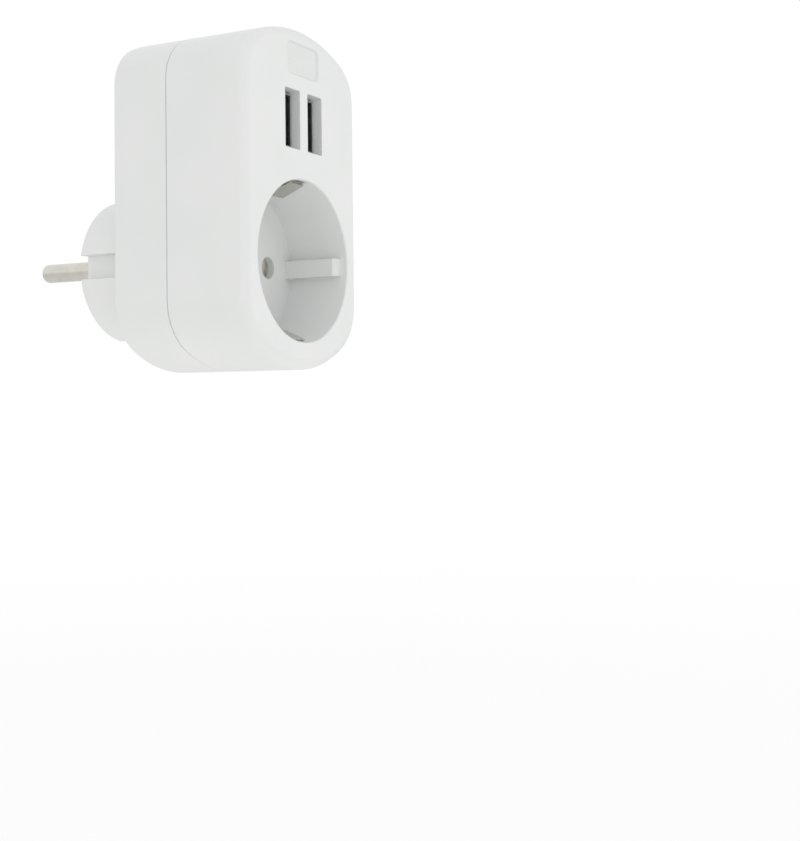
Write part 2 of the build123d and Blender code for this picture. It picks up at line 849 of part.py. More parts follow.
# USB board, on the posts of the front shell
with BuildPart() as usb_board:
    with BuildSketch(at(usb_board_back)):
        with Locations((0, (board_bottom + usb_board_top) / 2)):
            Rectangle(2 * usb_board_x, usb_board_top - board_bottom)
        add(board_section.sketch, mode=Mode.INTERSECT)
        with Locations((-usb_post_x, usb_post_z), (usb_post_x, usb_post_z)):
            Circle(post_pin_radius + board_hole_clearance, mode=Mode.SUBTRACT)
        with Locations(*link_places):
            Rectangle(link_pin_width, link_pin_width, mode=Mode.SUBTRACT)
        for port_x, port_z in port_places:
            for pitch in port_contact_pitches:
                with Locations((port_x + contact_face_x - port_contact_sheet / 2, port_z + pitch)):
                    Rectangle(port_contact_sheet, port_contact_width, mode=Mode.SUBTRACT)
            for wall_side in (-1, 1):
                wall_x = port_x + wall_side * (port_width - port_sheet) / 2
                for tab_side in (-1, 1):
                    with Locations((wall_x, port_z + tab_side * port_tab_spacing / 2)):
                        Rectangle(port_sheet, port_tab_width, mode=Mode.SUBTRACT)
    extrude(amount=board_thickness)

# Transformer on the power board: ferrite core, bobbin, winding and pins
core_base = power_board_front + core_lift
core_top = usb_board_back - core_board_gap
yoke = 1.5 * core_leg
window_low = core_base + yoke
window_high = core_top - yoke
window_inner = core_leg
window_outer = core_width / 2 - core_leg
tube_x = core_leg + bobbin_clearance
tube_z = core_depth / 2 + bobbin_clearance
flange_x = window_outer - bobbin_clearance
flange_low = window_low + bobbin_clearance
flange_high = window_high - bobbin_clearance
foot_z = bobbin_flange_depth / 2 + bobbin_foot_depth / 2

with BuildPart() as transformer_core:
    with BuildSketch(at(core_base)):
        with Locations((0, transformer_z)):
            Rectangle(core_width, core_depth)
    extrude(amount=core_top - core_base)
    with BuildSketch(Plane.XZ.offset(window_low)):
        for _, side in sides:
            with Locations((side * (window_inner + window_outer) / 2, transformer_z)):
                Rectangle(window_outer - window_inner, core_depth)
    extrude(amount=window_high - window_low, mode=Mode.SUBTRACT)

with BuildPart() as transformer_bobbin:
    with BuildSketch(at(flange_low)):
        with Locations((0, transformer_z)):
            Rectangle(2 * flange_x, bobbin_flange_depth)
    extrude(amount=bobbin_flange)
    with BuildSketch(at(flange_high - bobbin_flange)):
        with Locations((0, transformer_z)):
            Rectangle(2 * flange_x, bobbin_flange_depth)
    extrude(amount=bobbin_flange)
    with BuildSketch(at(flange_low)):
        with Locations((0, transformer_z)):
            Rectangle(2 * (tube_x + bobbin_wall), 2 * (tube_z + bobbin_wall))
    extrude(amount=flange_high - flange_low)
    with BuildSketch(at(flange_low)):
        with Locations((0, transformer_z)):
            Rectangle(2 * tube_x, 2 * tube_z)
    extrude(amount=flange_high - flange_low, mode=Mode.SUBTRACT)
    with BuildSketch(at(power_board_front)):
        for _, side in sides:
            with Locations((0, transformer_z + side * foot_z)):
                Rectangle(2 * flange_x, bobbin_foot_depth)
    extrude(amount=flange_low + bobbin_flange - power_board_front)

with BuildPart() as transformer_winding:
    with BuildSketch(at(flange_low + bobbin_flange)):
        with Locations((0, transformer_z)):
            RectangleRounded(
                2 * (flange_x - winding_margin),
                bobbin_flange_depth - 2 * winding_margin,
                winding_corner_radius,
            )
            Rectangle(2 * (tube_x + bobbin_wall), 2 * (tube_z + bobbin_wall), mode=Mode.SUBTRACT)
    extrude(amount=flange_high - flange_low - 2 * bobbin_flange)

# Power board, on the posts of the rear shell
disc_lead_places = [
    (disc_capacitor_x + side * disc_lead_spacing / 2, disc_capacitor_z) for _, side in sides
]
resistor_lead_places = [(resistor_x + side * resistor_lead_span / 2, resistor_z) for _, side in sides]

with BuildPart() as power_board:
    with BuildSketch(at(power_board_height)):
        add(board_section.sketch)
        with Locations(*screw_places):
            Circle(column_radius + column_board_gap, mode=Mode.SUBTRACT)
        with Locations(*power_post_places):
            Circle(post_pin_radius + board_hole_clearance, mode=Mode.SUBTRACT)
        with Locations(*link_places):
            Rectangle(link_pin_width, link_pin_width, mode=Mode.SUBTRACT)
        with Locations(*disc_lead_places, *resistor_lead_places):
            Circle(part_lead_radius, mode=Mode.SUBTRACT)
    extrude(amount=board_thickness)


# Can capacitors: crimped near the board, with a rim at the top
can_parts = {}
for name, side, radius, board_gap in (
    ("input_capacitor", -1, input_capacitor_radius, input_capacitor_gap),
    ("output_capacitor", 1, output_capacitor_radius, output_capacitor_gap),
):
    crimp = power_board_front + capacitor_crimp_height
    can_top = usb_board_back - board_gap
    with BuildPart() as can_capacitor:
        with BuildSketch(Plane((side * capacitor_x, 0, capacitor_z))):
            with BuildLine():
                Polyline(
                    (radius, capacitor_crimp_radius - crimp),
                    (radius, -power_board_front),
                    (0, -power_board_front),
                    (0, capacitor_rim / 2 - can_top),
                    (radius - 2 * capacitor_rim, capacitor_rim / 2 - can_top),
                    (radius - capacitor_rim, -can_top),
                    (radius, -can_top),
                    (radius, -crimp - capacitor_crimp_radius),
                )
                ThreePointArc(
                    (radius, -crimp - capacitor_crimp_radius),
                    (radius - capacitor_crimp_radius, -crimp),
                    (radius, capacitor_crimp_radius - crimp),
                )
            make_face()
        revolve(axis=Axis((side * capacitor_x, 0, capacitor_z), (0, 1, 0)))
    can_parts[name] = can_capacitor.part

# Disc capacitor standing on its leads
disc_height = power_board_front + disc_capacitor_lift + disc_capacitor_radius

with BuildPart() as suppression_capacitor:
    with BuildSketch(Plane.XY.offset(disc_capacitor_z)):
        with Locations((disc_capacitor_x, -disc_height)):
            Circle(disc_capacitor_radius)
    extrude(amount=disc_capacitor_thickness / 2, both=True)
    fillet(suppression_capacitor.edges(), (disc_capacitor_thickness - disc_capacitor_rim) / 2)
    with BuildSketch(at(power_board_height)):
        with Locations(*disc_lead_places):
            Circle(part_lead_radius)
    extrude(amount=disc_height - power_board_height)

# Fusible resistor lying above the board on bent leads
resistor_height = power_board_front + resistor_lift

with BuildPart() as fuse_resistor:
    with BuildSketch(Plane.YZ.offset(resistor_x)):
        with Locations((-resistor_height, resistor_z)):
            Circle(resistor_radius)
    extrude(amount=resistor_length / 2, both=True)
    fillet(fuse_resistor.edges().filter_by(GeomType.CIRCLE), resistor_radius / 3)
    with BuildSketch(Plane.YZ.offset(resistor_x)):
        with Locations((-resistor_height, resistor_z)):
            Circle(part_lead_radius)
    extrude(amount=resistor_lead_span / 2, both=True)
    with BuildSketch(at(power_board_height)):
        with Locations(*resistor_lead_places):
            Circle(part_lead_radius)
    extrude(amount=resistor_height - power_board_height)


# Moulded bodies on the power board with flat legs out of their two long sides
chip_pitch = link_pitch / 2
chip_legs = [(leg - (chip_leg_count - 1) / 2) * chip_pitch for leg in range(chip_leg_count)]
surface_parts = {}
for name, size, place, leg_places in (
    ("bridge_rectifier", rectifier_size, (rectifier_x, rectifier_z), (-chip_pitch, chip_pitch)),
    ("controller_chip", chip_size, (chip_x, chip_z), chip_legs),
):
    length, breadth, height = size
    with BuildPart() as surface_part:
        with BuildSketch(at(power_board_front + chip_lift)):
            with Locations(place):
                Rectangle(length, breadth)
        extrude(amount=height, taper=chip_draft)
        with BuildSketch(at(power_board_front)):
            with Locations(place):
                with Locations(*[(leg_x, 0) for leg_x in leg_places]):
                    Rectangle(chip_leg_width, breadth + 2 * chip_leg_reach)
        extrude(amount=chip_lift + chip_leg_sheet)
    surface_parts[name] = surface_part.part

# Supply links from the contact strips to the power board
link_parts = {}
for name, side in sides:
    with BuildPart() as supply_link:
        with BuildSketch(Plane.XY.offset(contact_web_width / 2)):
            with Locations((side * web_x, -power_board_front - supply_link_radius)):
                Circle(supply_link_radius)
        extrude(amount=board_bottom + supply_link_reach - contact_web_width / 2)
    link_parts[name] = supply_link.part

# Each finished piece, under its own name
pieces = {
    "front_shell": front_shell.part,
    "rear_shell": rear_shell.part,
    "housing_screws": housing_screws.part,
    "shutter_disc": shutter_disc.part,
    "shutter_spring": shutter_spring.part,
    "contact_carrier": contact_carrier.part,
    "socket_earth_bracket": socket_earth_bracket.part,
    "plug_earth_bracket": plug_earth_bracket.part,
    "earth_rivet": earth_rivet.part,
    "usb_board": usb_board.part,
    "power_board": power_board.part,
    "board_link_pins": board_link_pins.part,
    "board_link_spacer": board_link_spacer.part,
    "transformer_core": transformer_core.part,
    "transformer_bobbin": transformer_bobbin.part,
    "transformer_winding": transformer_winding.part,
    "suppression_capacitor": suppression_capacitor.part,
    "fuse_resistor": fuse_resistor.part,
}
pieces.update(can_parts)
pieces.update(surface_parts)
for name, _ in sides:
    pieces[f"{name}_plug_pin"] = pin_parts[name]
    pieces[f"{name}_contact"] = contact_parts[name]
    pieces[f"{name}_supply_link"] = link_parts[name]
    shell, insulator, contacts = port_parts[name]
    pieces[f"{name}_usb_shell"] = shell
    pieces[f"{name}_usb_insulator"] = insulator
    pieces[f"{name}_usb_contacts"] = contacts

os.makedirs("parts", exist_ok=True)
for name, piece in pieces.items():
    piece.label = name
    export_step(piece, f"parts/{name}.step")
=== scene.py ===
from math import cos, pi, radians, sin

import bmesh
import bpy
from mathutils import Matrix, Vector


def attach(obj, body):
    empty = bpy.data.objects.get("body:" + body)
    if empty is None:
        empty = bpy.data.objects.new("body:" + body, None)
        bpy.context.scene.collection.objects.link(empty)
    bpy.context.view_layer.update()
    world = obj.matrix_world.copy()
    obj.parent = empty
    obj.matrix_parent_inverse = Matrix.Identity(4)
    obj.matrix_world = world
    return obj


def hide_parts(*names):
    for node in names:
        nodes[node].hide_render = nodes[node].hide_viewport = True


# An earthed socket adapter with two upright USB charging ports, in metres.
# The plug and socket share the Y axis, the plug points along +Y and +Z is up.

MM = 0.001
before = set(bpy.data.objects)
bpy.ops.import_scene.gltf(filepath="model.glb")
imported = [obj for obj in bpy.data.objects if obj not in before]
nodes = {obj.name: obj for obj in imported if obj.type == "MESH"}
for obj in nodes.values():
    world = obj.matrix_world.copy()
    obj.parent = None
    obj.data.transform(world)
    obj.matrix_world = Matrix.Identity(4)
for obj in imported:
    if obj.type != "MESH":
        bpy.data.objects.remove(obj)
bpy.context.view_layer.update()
scene = bpy.context.scene


def colour(hex_value):
    """An sRGB hex value as the linear colour that a shader takes."""
    channels = [int(hex_value[i : i + 2], 16) / 255 for i in (1, 3, 5)]
    return [c / 12.92 if c <= 0.04045 else ((c + 0.055) / 1.055) ** 2.4 for c in channels] + [1.0]


def per_metre(size_mm):
    """The scale that gives a pattern features of this size."""
    return 1000.0 / size_mm


def bands_per_metre(apart_mm):
    """The scale that sets a wave's bands this far apart: it repeats every tenth of pi."""
    return per_metre(apart_mm) * pi / 10


def add(tree, kind, inputs=None, links=None, stops=(), **settings):
    """One node, with its sockets' values, what feeds them, a ramp's stops and its settings."""
    node = tree.nodes.new(kind)
    for name, value in settings.items():
        setattr(node, name, value)
    for name, value in (inputs or {}).items():
        node.inputs[name].default_value = value
    for name, (source, output) in (links or {}).items():
        tree.links.new(source.outputs[output], node.inputs[name])
    if stops:
        for stop, (position, hex_value) in zip(node.color_ramp.elements, stops):
            stop.position = position
            stop.color = colour(hex_value)
    return node


def start_material(name, shader_inputs):
    """A material with its shader and the object's own coordinates, ready for a pattern."""
    material = bpy.data.materials.new(name)
    material.use_nodes = True
    tree = material.node_tree
    tree.nodes.clear()
    place = add(tree, "ShaderNodeTexCoord")
    shader = add(tree, "ShaderNodeBsdfPrincipled", shader_inputs)
    add(tree, "ShaderNodeOutputMaterial", links={"Surface": (shader, "BSDF")})
    return material, tree, place, shader


def feed(tree, node, output, fed, socket):
    tree.links.new(node.outputs[output], fed.inputs[socket])


def inside(tree, place, ranges):
    """One where every axis's distance from nought is in its range, and nought elsewhere.

    A range is an axis, the range's middle and half its width, in millimetres.
    """
    away = add(tree, "ShaderNodeVectorMath", links={0: (place, "Object")}, operation="ABSOLUTE")
    distances = add(tree, "ShaderNodeSeparateXYZ", links={"Vector": (away, "Vector")})
    within = None
    for axis, middle_mm, half_mm in ranges:
        near = add(
            tree, "ShaderNodeMath", {1: middle_mm * MM, 2: half_mm * MM},
            {0: (distances, axis)}, operation="COMPARE",
        )
        within = near if within is None else add(
            tree, "ShaderNodeMath", {}, {0: (within, 0), 1: (near, 0)}, operation="MULTIPLY"
        )
    return within


# White housing: polycarbonate and ABS blend, moulded in spark-eroded steel. The eroded grain is
# about 0.05 mm on the real one and is drawn at 0.35 mm, so that it still breaks up the sheen.
# The ground of the front's small recess is eroded coarser, so it looks a shade darker. The
# softened look of edges is left off where the rim runs over an earth slot in one surface.
def spark_eroded_white_moulding(name, recess_ground=None, joined_rim=None):
    material, tree, place, shader = start_material(
        name, {"IOR": 1.57, "Metallic": 0.0, "Roughness": 0.42}
    )
    grain = add(
        tree, "ShaderNodeTexNoise",
        {"Scale": per_metre(0.35), "Detail": 2.0, "Roughness": 0.55},
        {"Vector": (place, "Object")},
    )
    flow = add(
        tree, "ShaderNodeTexNoise", {"Scale": per_metre(22.0), "Detail": 3.0, "Roughness": 0.5},
        {"Vector": (place, "Object")},
    )
    tint = add(
        tree, "ShaderNodeValToRGB", {}, {"Fac": (flow, "Fac")},
        ((0.3, "#e7e9e8"), (0.7, "#ebeceb")),
    )
    sheen = add(
        tree, "ShaderNodeMapRange", {"To Min": 0.38, "To Max": 0.47}, {"Value": (flow, "Fac")}
    )
    edge_radius = 0.25 * MM
    soft_edge = add(tree, "ShaderNodeBevel", {"Radius": edge_radius}, samples=6)
    relief = add(
        tree, "ShaderNodeBump", {"Strength": 0.35, "Distance": 0.006 * MM},
        {"Height": (grain, "Fac"), "Normal": (soft_edge, "Normal")},
    )
    if recess_ground:
        softness = add(
            tree, "ShaderNodeMapRange", {"To Min": edge_radius, "To Max": 0.0},
            {"Value": (inside(tree, place, joined_rim), 0)},
        )
        feed(tree, softness, "Result", soft_edge, "Radius")
        within = inside(tree, place, recess_ground)
        pits = add(
            tree, "ShaderNodeTexVoronoi", {"Scale": per_metre(0.5)}, {"Vector": (place, "Object")}
        )
        ground = add(
            tree, "ShaderNodeValToRGB", {}, {"Fac": (pits, "Distance")},
            ((0.0, "#dfe1e0"), (0.6, "#e5e7e6")),
        )
        shaded = add(
            tree, "ShaderNodeMix", {}, {0: (within, 0), 6: (tint, "Color"), 7: (ground, "Color")},
            data_type="RGBA",
        )
        dimples = add(
            tree, "ShaderNodeBump", {"Distance": 0.03 * MM},
            {"Strength": (within, 0), "Height": (pits, "Distance"), "Normal": (relief, "Normal")},
        )
        feed(tree, shaded, 2, shader, "Base Color")
        feed(tree, dimples, "Normal", shader, "Normal")
    else:
        feed(tree, tint, "Color", shader, "Base Color")
        feed(tree, relief, "Normal", shader, "Normal")
    feed(tree, sheen, "Result", shader, "Roughness")
    return material


# Inner mouldings: unfilled nylon and acetal from a polished mould, a little cream and waxy.
def polished_mould_nylon(name, light, dark, rough):
    material, tree, place, shader = start_material(name, {"IOR": 1.53, "Roughness": rough})
    flow = add(
        tree, "ShaderNodeTexNoise", {"Scale": per_metre(6.0), "Detail": 4.0},
        {"Vector": (place, "Object")},
    )
    tint = add(
        tree, "ShaderNodeValToRGB", {}, {"Fac": (flow, "Fac")},
        ((0.3, dark), (0.7, light)),
    )
    soft_edge = add(tree, "ShaderNodeBevel", {"Radius": 0.15 * MM}, samples=4)
    relief = add(
        tree, "ShaderNodeBump", {"Strength": 0.3, "Distance": 0.01 * MM},
        {"Height": (flow, "Fac"), "Normal": (soft_edge, "Normal")},
    )
    feed(tree, tint, "Color", shader, "Base Color")
    feed(tree, relief, "Normal", shader, "Normal")
    return material


# Dark mouldings: glass-filled polyester and epoxy, matt black with a faint grey fibre fleck.
def glass_filled_black(name, rough):
    material, tree, place, shader = start_material(name, {"IOR": 1.57, "Roughness": rough})
    fibre = add(
        tree, "ShaderNodeTexNoise", {"Scale": per_metre(0.25), "Detail": 3.0, "Roughness": 0.7},
        {"Vector": (place, "Object")},
    )
    tint = add(
        tree, "ShaderNodeValToRGB", {}, {"Fac": (fibre, "Fac")},
        ((0.45, "#161618"), (0.8, "#34353a")),
    )
    relief = add(
        tree, "ShaderNodeBump", {"Strength": 0.4, "Distance": 0.008 * MM},
        {"Height": (fibre, "Fac")},
    )
    feed(tree, tint, "Color", shader, "Base Color")
    feed(tree, relief, "Normal", shader, "Normal")
    return material


# Plug pins: brass turned on a lathe and nickel plated. Fine rings round the pin stretch its
# highlight, and are drawn 0.25 mm apart where the tool's feed was nearer 0.08 mm.
def turned_nickel_plate():
    material, tree, place, shader = start_material(
        "nickel_plated_turned_brass", {"Metallic": 1.0}
    )
    rings = add(
        tree, "ShaderNodeTexWave",
        {"Scale": bands_per_metre(0.25), "Distortion": 0.4, "Detail": 2.0},
        {"Vector": (place, "Object")}, wave_type="BANDS", bands_direction="Y",
    )
    handling = add(
        tree, "ShaderNodeTexNoise", {"Scale": per_metre(3.0), "Detail": 5.0, "Roughness": 0.6},
        {"Vector": (place, "Object")},
    )
    tint = add(
        tree, "ShaderNodeValToRGB", {}, {"Fac": (handling, "Fac")},
        ((0.35, "#cfccc4"), (0.7, "#dad7d0")),
    )
    sheen = add(
        tree, "ShaderNodeMapRange", {"To Min": 0.16, "To Max": 0.3},
        {"Value": (handling, "Fac")},
    )
    relief = add(
        tree, "ShaderNodeBump", {"Strength": 0.25, "Distance": 0.004 * MM},
        {"Height": (rings, "Fac")},
    )
    feed(tree, tint, "Color", shader, "Base Color")
    feed(tree, sheen, "Result", shader, "Roughness")
    feed(tree, relief, "Normal", shader, "Normal")
    return material


# Rolled and stamped strip: the rolls leave fine lines along the strip, so the sheen is drawn out
# across them. The lines are drawn about 0.12 mm apart.
def rolled_strip(name, light, dark, smooth, dull, along):
    material, tree, place, shader = start_material(name, {"Metallic": 1.0})
    stretch = [per_metre(0.12)] * 3
    stretch["XYZ".index(along)] = per_metre(6.0)
    drawn_out = add(
        tree, "ShaderNodeMapping", {"Scale": stretch}, {"Vector": (place, "Object")}
    )
    lines = add(
        tree, "ShaderNodeTexNoise", {"Scale": 1.0, "Detail": 3.0, "Roughness": 0.6},
        {"Vector": (drawn_out, "Vector")},
    )
    film = add(
        tree, "ShaderNodeTexNoise", {"Scale": per_metre(2.5), "Detail": 4.0},
        {"Vector": (place, "Object")},
    )
    tint = add(
        tree, "ShaderNodeValToRGB", {}, {"Fac": (film, "Fac")},
        ((0.3, dark), (0.7, light)),
    )
    sheen = add(
        tree, "ShaderNodeMapRange", {"To Min": smooth, "To Max": dull},
        {"Value": (lines, "Fac")},
    )
    soft_edge = add(tree, "ShaderNodeBevel", {"Radius": 0.1 * MM}, samples=4)
    relief = add(
        tree, "ShaderNodeBump", {"Strength": 0.3, "Distance": 0.004 * MM},
        {"Height": (lines, "Fac"), "Normal": (soft_edge, "Normal")},
    )
    feed(tree, tint, "Color", shader, "Base Color")
    feed(tree, sheen, "Result", shader, "Roughness")
    feed(tree, relief, "Normal", shader, "Normal")
    return material


# Zinc-plated steel, barrel plated and passivated: a cool grey with a faint warm bloom.
def barrel_plated_zinc(name):
    material, tree, place, shader = start_material(name, {"Metallic": 1.0})
    bloom = add(
        tree, "ShaderNodeTexNoise", {"Scale": per_metre(0.8), "Detail": 5.0, "Roughness": 0.65},
        {"Vector": (place, "Object")},
    )
    tint = add(
        tree, "ShaderNodeValToRGB", {}, {"Fac": (bloom, "Fac")},
        ((0.3, "#a9adb4"), (0.75, "#c9c6be")),
    )
    sheen = add(
        tree, "ShaderNodeMapRange", {"To Min": 0.28, "To Max": 0.46}, {"Value": (bloom, "Fac")}
    )
    relief = add(
        tree, "ShaderNodeBump", {"Strength": 0.3, "Distance": 0.004 * MM},
        {"Height": (bloom, "Fac")},
    )
    feed(tree, tint, "Color", shader, "Base Color")
    feed(tree, sheen, "Result", shader, "Roughness")
    feed(tree, relief, "Normal", shader, "Normal")
    return material


# Circuit boards: glass epoxy under a green solder mask, with copper tracks 1.2 mm apart that
# show through as lighter bars.
def masked_circuit_board():
    material, tree, place, shader = start_material(
        "solder_masked_glass_epoxy", {"IOR": 1.55, "Roughness": 0.32, "Coat Weight": 0.3}
    )
    flat = add(
        tree, "ShaderNodeMapping", {"Rotation": (radians(90), 0, 0)},
        {"Vector": (place, "Object")},
    )
    tracks = add(
        tree, "ShaderNodeTexBrick",
        {"Color1": colour("#1f6b3a"), "Color2": colour("#256f40"), "Mortar": colour("#14502a"),
         "Scale": 1.0, "Mortar Size": 0.35 * MM, "Brick Width": 7.0 * MM, "Row Height": 1.2 * MM},
        {"Vector": (flat, "Vector")},
    )
    relief = add(
        tree, "ShaderNodeBump", {"Strength": 0.4, "Distance": 0.03 * MM},
        {"Height": (tracks, "Fac")}, invert=True,
    )
    feed(tree, tracks, "Color", shader, "Base Color")
    feed(tree, relief, "Normal", shader, "Normal")
    return material


# Transformer core: sintered ferrite, dark and dry like unglazed ceramic, with a fine pale fleck.
def sintered_ferrite():
    material, tree, place, shader = start_material(
        "sintered_ferrite", {"IOR": 1.6, "Roughness": 0.62}
    )
    fleck = add(
        tree, "ShaderNodeTexVoronoi", {"Scale": per_metre(0.3)}, {"Vector": (place, "Object")}
    )
    tint = add(
        tree, "ShaderNodeValToRGB", {}, {"Fac": (fleck, "Distance")},
        ((0.0, "#4a4a4e"), (0.5, "#2a2a2d")),
    )
    relief = add(
        tree, "ShaderNodeBump", {"Strength": 0.5, "Distance": 0.01 * MM},
        {"Height": (fleck, "Distance")},
    )
    feed(tree, tint, "Color", shader, "Base Color")
    feed(tree, relief, "Normal", shader, "Normal")
    return material


# Winding: wrapped polyester tape, translucent yellow, with a step at each lap of the tape.
def wrapped_polyester_tape():
    material, tree, place, shader = start_material(
        "wrapped_polyester_tape", {"IOR": 1.6, "Roughness": 0.28}
    )
    laps = add(
        tree, "ShaderNodeTexWave",
        {"Scale": bands_per_metre(3.1), "Distortion": 0.6, "Detail": 1.0},
        {"Vector": (place, "Object")}, wave_type="BANDS", bands_direction="Y", wave_profile="SAW",
    )
    tint = add(
        tree, "ShaderNodeValToRGB", {}, {"Fac": (laps, "Fac")},
        ((0.0, "#d9a51c"), (1.0, "#e8bd3d")),
    )
    relief = add(
        tree, "ShaderNodeBump", {"Strength": 0.5, "Distance": 0.05 * MM},
        {"Height": (laps, "Fac")},
    )
    feed(tree, tint, "Color", shader, "Base Color")
    feed(tree, relief, "Normal", shader, "Normal")
    return material


# Capacitor cans: dark shrink sleeve, with a pale stripe down one side that marks the negative
# lead. The stripe is what lies above a height, which is in millimetres.
def shrink_sleeve(name, stripe_above):
    material, tree, place, shader = start_material(name, {"IOR": 1.54, "Roughness": 0.3})
    height = add(tree, "ShaderNodeSeparateXYZ", links={"Vector": (place, "Object")})
    stripe = add(
        tree, "ShaderNodeMath", {1: stripe_above * MM},
        {0: (height, "Z")}, operation="GREATER_THAN",
    )
    wrinkle = add(
        tree, "ShaderNodeTexNoise", {"Scale": per_metre(1.5), "Detail": 3.0},
        {"Vector": (place, "Object")},
    )
    tint = add(
        tree, "ShaderNodeMix", {6: colour("#1d2233"), 7: colour("#b9bec6")}, {0: (stripe, 0)},
        data_type="RGBA",
    )
    relief = add(
        tree, "ShaderNodeBump", {"Strength": 0.3, "Distance": 0.02 * MM},
        {"Height": (wrinkle, "Fac")},
    )
    feed(tree, tint, 2, shader, "Base Color")
    feed(tree, relief, "Normal", shader, "Normal")
    return material


# Dipped, lacquered and sleeved parts: a glossy coat that pooled a little unevenly.
def dipped_coat(name, light, dark, rough):
    material, tree, place, shader = start_material(name, {"IOR": 1.52, "Roughness": rough})
    pooled = add(
        tree, "ShaderNodeTexNoise", {"Scale": per_metre(1.8), "Detail": 3.0},
        {"Vector": (place, "Object")},
    )
    tint = add(
        tree, "ShaderNodeValToRGB", {}, {"Fac": (pooled, "Fac")},
        ((0.3, dark), (0.7, light)),
    )
    relief = add(
        tree, "ShaderNodeBump", {"Strength": 0.3, "Distance": 0.03 * MM},
        {"Height": (pooled, "Fac")},
    )
    feed(tree, tint, "Color", shader, "Base Color")
    feed(tree, relief, "Normal", shader, "Normal")
    return material


def dress(material, *names):
    """Gives CAD pieces a finish, on the objects' own material slots."""
    for name in names:
        piece = nodes[name]
        if not piece.material_slots:
            piece.data.materials.append(None)
        for holder in piece.material_slots:
            holder.link = "OBJECT"
            holder.material = material


# Ranges on the front shell: the ground of the small recess, and the rim over both earth slots.
RECESS_GROUND = (("X", 0.0, 7.0), ("Y", 38.35, 0.12), ("Z", 49.45, 4.1))
JOINED_RIM = (("X", 0.0, 3.5), ("Y", 38.8, 0.9), ("Z", 20.2, 0.8))

zinc = barrel_plated_zinc("zinc_plated_screw_steel")
front_white = spark_eroded_white_moulding("spark_eroded_white_front", RECESS_GROUND, JOINED_RIM)
dress(front_white, "front_shell")
dress(spark_eroded_white_moulding("spark_eroded_white_rear"), "rear_shell")
dress(polished_mould_nylon("moulded_nylon_carrier", "#dbd8cc", "#d2cec0", 0.42), "contact_carrier")
dress(polished_mould_nylon("moulded_acetal_shutter", "#e6e4dc", "#dddad0", 0.36), "shutter_disc")
dress(turned_nickel_plate(), "left_plug_pin", "right_plug_pin")
dress(
    rolled_strip("nickel_plated_rolled_strip", "#dad8d3", "#cfcdc7", 0.16, 0.3, "Y"),
    "socket_earth_bracket", "plug_earth_bracket",
)
dress(
    rolled_strip("stamped_contact_brass", "#d8b05a", "#b98c3c", 0.24, 0.4, "Y"),
    "left_contact", "right_contact", "earth_rivet",
)
dress(
    rolled_strip("tin_plated_folded_steel", "#c9cacc", "#aeb0b3", 0.26, 0.42, "Y"),
    "left_usb_shell", "right_usb_shell",
)
dress(
    rolled_strip("gold_flashed_contact_strip", "#e3bd68", "#cfa04a", 0.18, 0.3, "Y"),
    "left_usb_contacts", "right_usb_contacts", "board_link_pins",
)
dress(
    rolled_strip("drawn_spring_wire", "#a7a8ab", "#8b8c90", 0.26, 0.4, "Z"), "shutter_spring"
)
dress(zinc, "housing_screws")
dress(
    glass_filled_black("glass_filled_polyester_insulator", 0.5),
    "left_usb_insulator", "right_usb_insulator", "board_link_spacer",
)
dress(glass_filled_black("phenolic_bobbin", 0.44), "transformer_bobbin")
dress(
    glass_filled_black("moulded_epoxy_package", 0.56), "bridge_rectifier", "controller_chip"
)
dress(masked_circuit_board(), "usb_board", "power_board")
dress(sintered_ferrite(), "transformer_core")
dress(wrapped_polyester_tape(), "transformer_winding")
dress(shrink_sleeve("shrink_sleeved_input_can", 39.7), "input_capacitor")
dress(shrink_sleeve("shrink_sleeved_output_can", 39.1), "output_capacitor")
dress(dipped_coat("blue_dipped_epoxy", "#2f68a8", "#28598f", 0.24), "suppression_capacitor")
dress(dipped_coat("green_resistor_lacquer", "#6f9384", "#5f8474", 0.3), "fuse_resistor")
dress(dipped_coat("brown_wire_sleeve", "#6e4630", "#633d29", 0.38), "left_supply_link")
dress(dipped_coat("blue_wire_sleeve", "#35589c", "#2d4d8b", 0.38), "right_supply_link")


def smooth_piece(name, mesh, material, crease_degrees):
    """Ends mesh code as one object in this material, smooth apart from its creases."""
    skin = bpy.data.meshes.new(name)
    mesh.to_mesh(skin)
    mesh.free()
    skin.polygons.foreach_set("use_smooth", [True] * len(skin.polygons))
    skin.set_sharp_from_angle(angle=radians(crease_degrees))
    skin.materials.append(material)
    piece = bpy.data.objects.new(name, skin)
    scene.collection.objects.link(piece)
    return piece


# Housing screws in millimetres: a pan head with a tapered cross recess, and a coarse thread
# that cuts its own way into the plastic. They lie along Y with their heads to the back: two
# above the middle, and two below it on a circle round the plug's axis. A head's and a core's
# rings are a radius and a height, and the recess's are an arm's length, half its width and a
# height, all from the seat under the head.
SCREW_SEAT = -9.0
SCREW_LENGTH = 16.0
HEAD_TOP = 1.9
HEAD_RINGS = (
    (2.3, 0.0), (2.3, 0.95), (2.24, 1.25), (2.08, 1.52), (1.84, 1.74), (1.56, 1.86),
    (1.4, HEAD_TOP),
)
RECESS_RINGS = ((1.24, 0.36, HEAD_TOP), (1.2, 0.33, 1.84), (0.74, 0.26, 1.02))
RECESS_BOTTOM = 0.72
CORE_RADIUS = 0.92
CORE_TOP = 0.1
CORE_RINGS = (
    (CORE_RADIUS, CORE_TOP), (CORE_RADIUS, 1.6 - SCREW_LENGTH), (0.3, 0.2 - SCREW_LENGTH),
)
CREST_RADIUS = 1.25
THREAD_PITCH = 1.1
PLAIN_NECK = 0.7
PLAIN_TIP = 1.2
UPPER_SCREW_X, UPPER_SCREW_Z = 19.0, 46.0
LOWER_SCREW_CIRCLE = 24.2
LOWER_SCREW_ANGLE = radians(42.3)
RING_POINTS = 48


